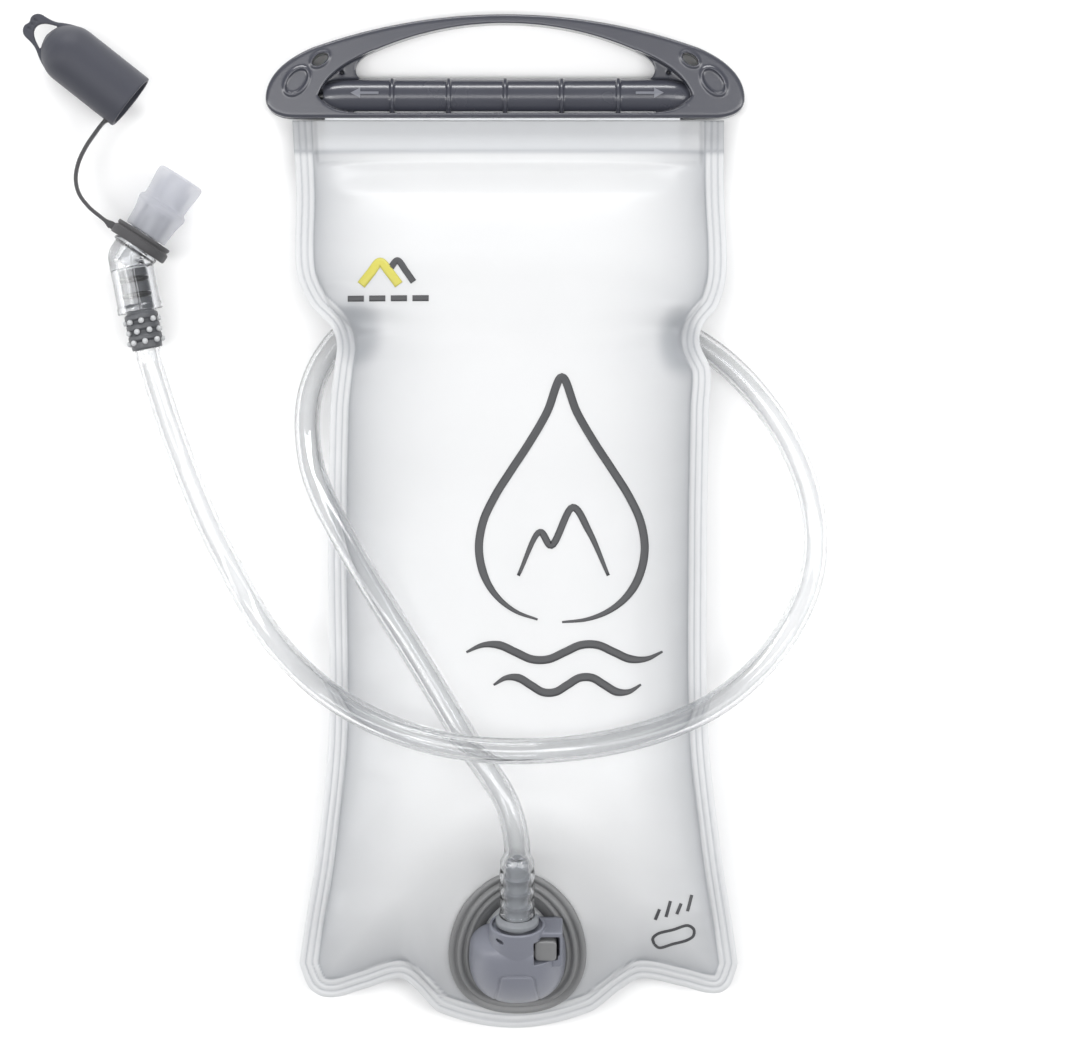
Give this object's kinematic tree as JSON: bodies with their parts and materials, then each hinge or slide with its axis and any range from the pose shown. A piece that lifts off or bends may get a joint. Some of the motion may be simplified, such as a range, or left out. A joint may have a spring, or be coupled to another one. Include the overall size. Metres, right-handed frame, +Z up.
{
  "type": "hydration bladder",
  "caption": "Film drinking reservoir with a slide-sealed mouth and grip, a quick-connect port, a drinking tube and a bite valve with a tethered cap, lying flat.",
  "frame": {"origin": "on the table, under the middle of the bag with its slider and port", "axes": "+Y from the port end to the handle, +X to the right seen from the front film, +Z up out of the table, through the front film"},
  "size_m": [0.2987, 0.3766, 0.0746],
  "materials": {
    "film": "milky see-through film, satin",
    "rail": "milky moulded plastic",
    "slider": "satin slate moulded plastic",
    "flange": "soft grey moulded plastic",
    "housing": "satin lavender-grey moulded plastic",
    "plug": "satin grey moulded plastic",
    "spring": "drawn wire",
    "seal": "matte rubber",
    "tube": "clear soft tubing",
    "stem": "satin dark grey plastic",
    "valve": "clear hard plastic",
    "silicone": "milky silicone",
    "tether": "matte grey rubber",
    "cap": "matte slate rubber"
  },
  "bodies": {
    "bag": {"front_panel": "film", "back_panel": "film", "front_seal_rail": "rail", "back_seal_rail": "rail", "port_flange": "flange", "port_housing": "housing", "port_seal": "seal", "poppet_spring": "spring", "button_spring": "spring", "hose_main": "tube", "valve_stem": "stem", "stem_o_ring_lower": "seal", "stem_o_ring_upper": "seal"},
    "slider": {"slider_handle": "slider"},
    "poppet": {"check_poppet": "plug"},
    "button": {"release_button": "plug"},
    "plug": {"hose_plug": "plug", "plug_o_ring": "seal", "hose_port_run": "tube"},
    "valve": {"valve_body": "valve"},
    "mouthpiece": {"bite_valve": "silicone"},
    "tether": {"tether_ring": "tether", "tether_strap_ring_half": "tether"},
    "cap": {"tether_strap_cap_half": "tether", "dust_cap": "cap"}
  },
  "joints": [
    {"name": "slider_slide", "type": "slide", "parent": "bag", "child": "slider", "axis": [1, 0, 0], "range_m": [0, 0.16]},
    {"name": "plug_pull", "type": "slide", "parent": "bag", "child": "plug", "axis": [0, 0.9063, 0.4226], "range_m": [0, 0.012], "deforming": ["hose_port_run"]},
    {"name": "poppet_travel", "type": "slide", "parent": "bag", "child": "poppet", "axis": [0, 0.9063, 0.4226], "range_m": [0, 0.0038], "deforming": ["poppet_spring"]},
    {"name": "button_press", "type": "slide", "parent": "bag", "child": "button", "axis": [0, 0.4226, -0.9063], "range_m": [0, 0.0018], "stiffness_N_per_m": 500, "springref_m": -0.002, "deforming": ["button_spring"]},
    {"name": "shutoff_turn", "type": "hinge", "parent": "bag", "child": "valve", "pos_m": [-0.1354, 0.0777, 0.012], "axis": [0.1908, -0.9816, 0], "range_deg": [0, 90]},
    {"name": "mouthpiece_pull", "type": "slide", "parent": "valve", "child": "mouthpiece", "axis": [0.5446, 0.8387, 0], "range_m": [0, 0.01]},
    {"name": "tether_ring_turn", "type": "hinge", "parent": "valve", "child": "tether", "pos_m": [-0.13931, 0.09782, 0.012], "axis": [0.5446, 0.8387, 0], "range_deg": [0, 100]},
    {"name": "cap_swing", "type": "hinge", "parent": "tether", "child": "cap", "pos_m": [-0.1594, 0.127, 0.012], "axis": [0, 0, 1], "range_deg": [-20, 35], "stiffness_Nm_per_rad": 0.005}
  ],
  "couplings": [
    {"joint": "poppet_travel", "follows": "plug_pull", "ratio": 0.31667}
  ]
}
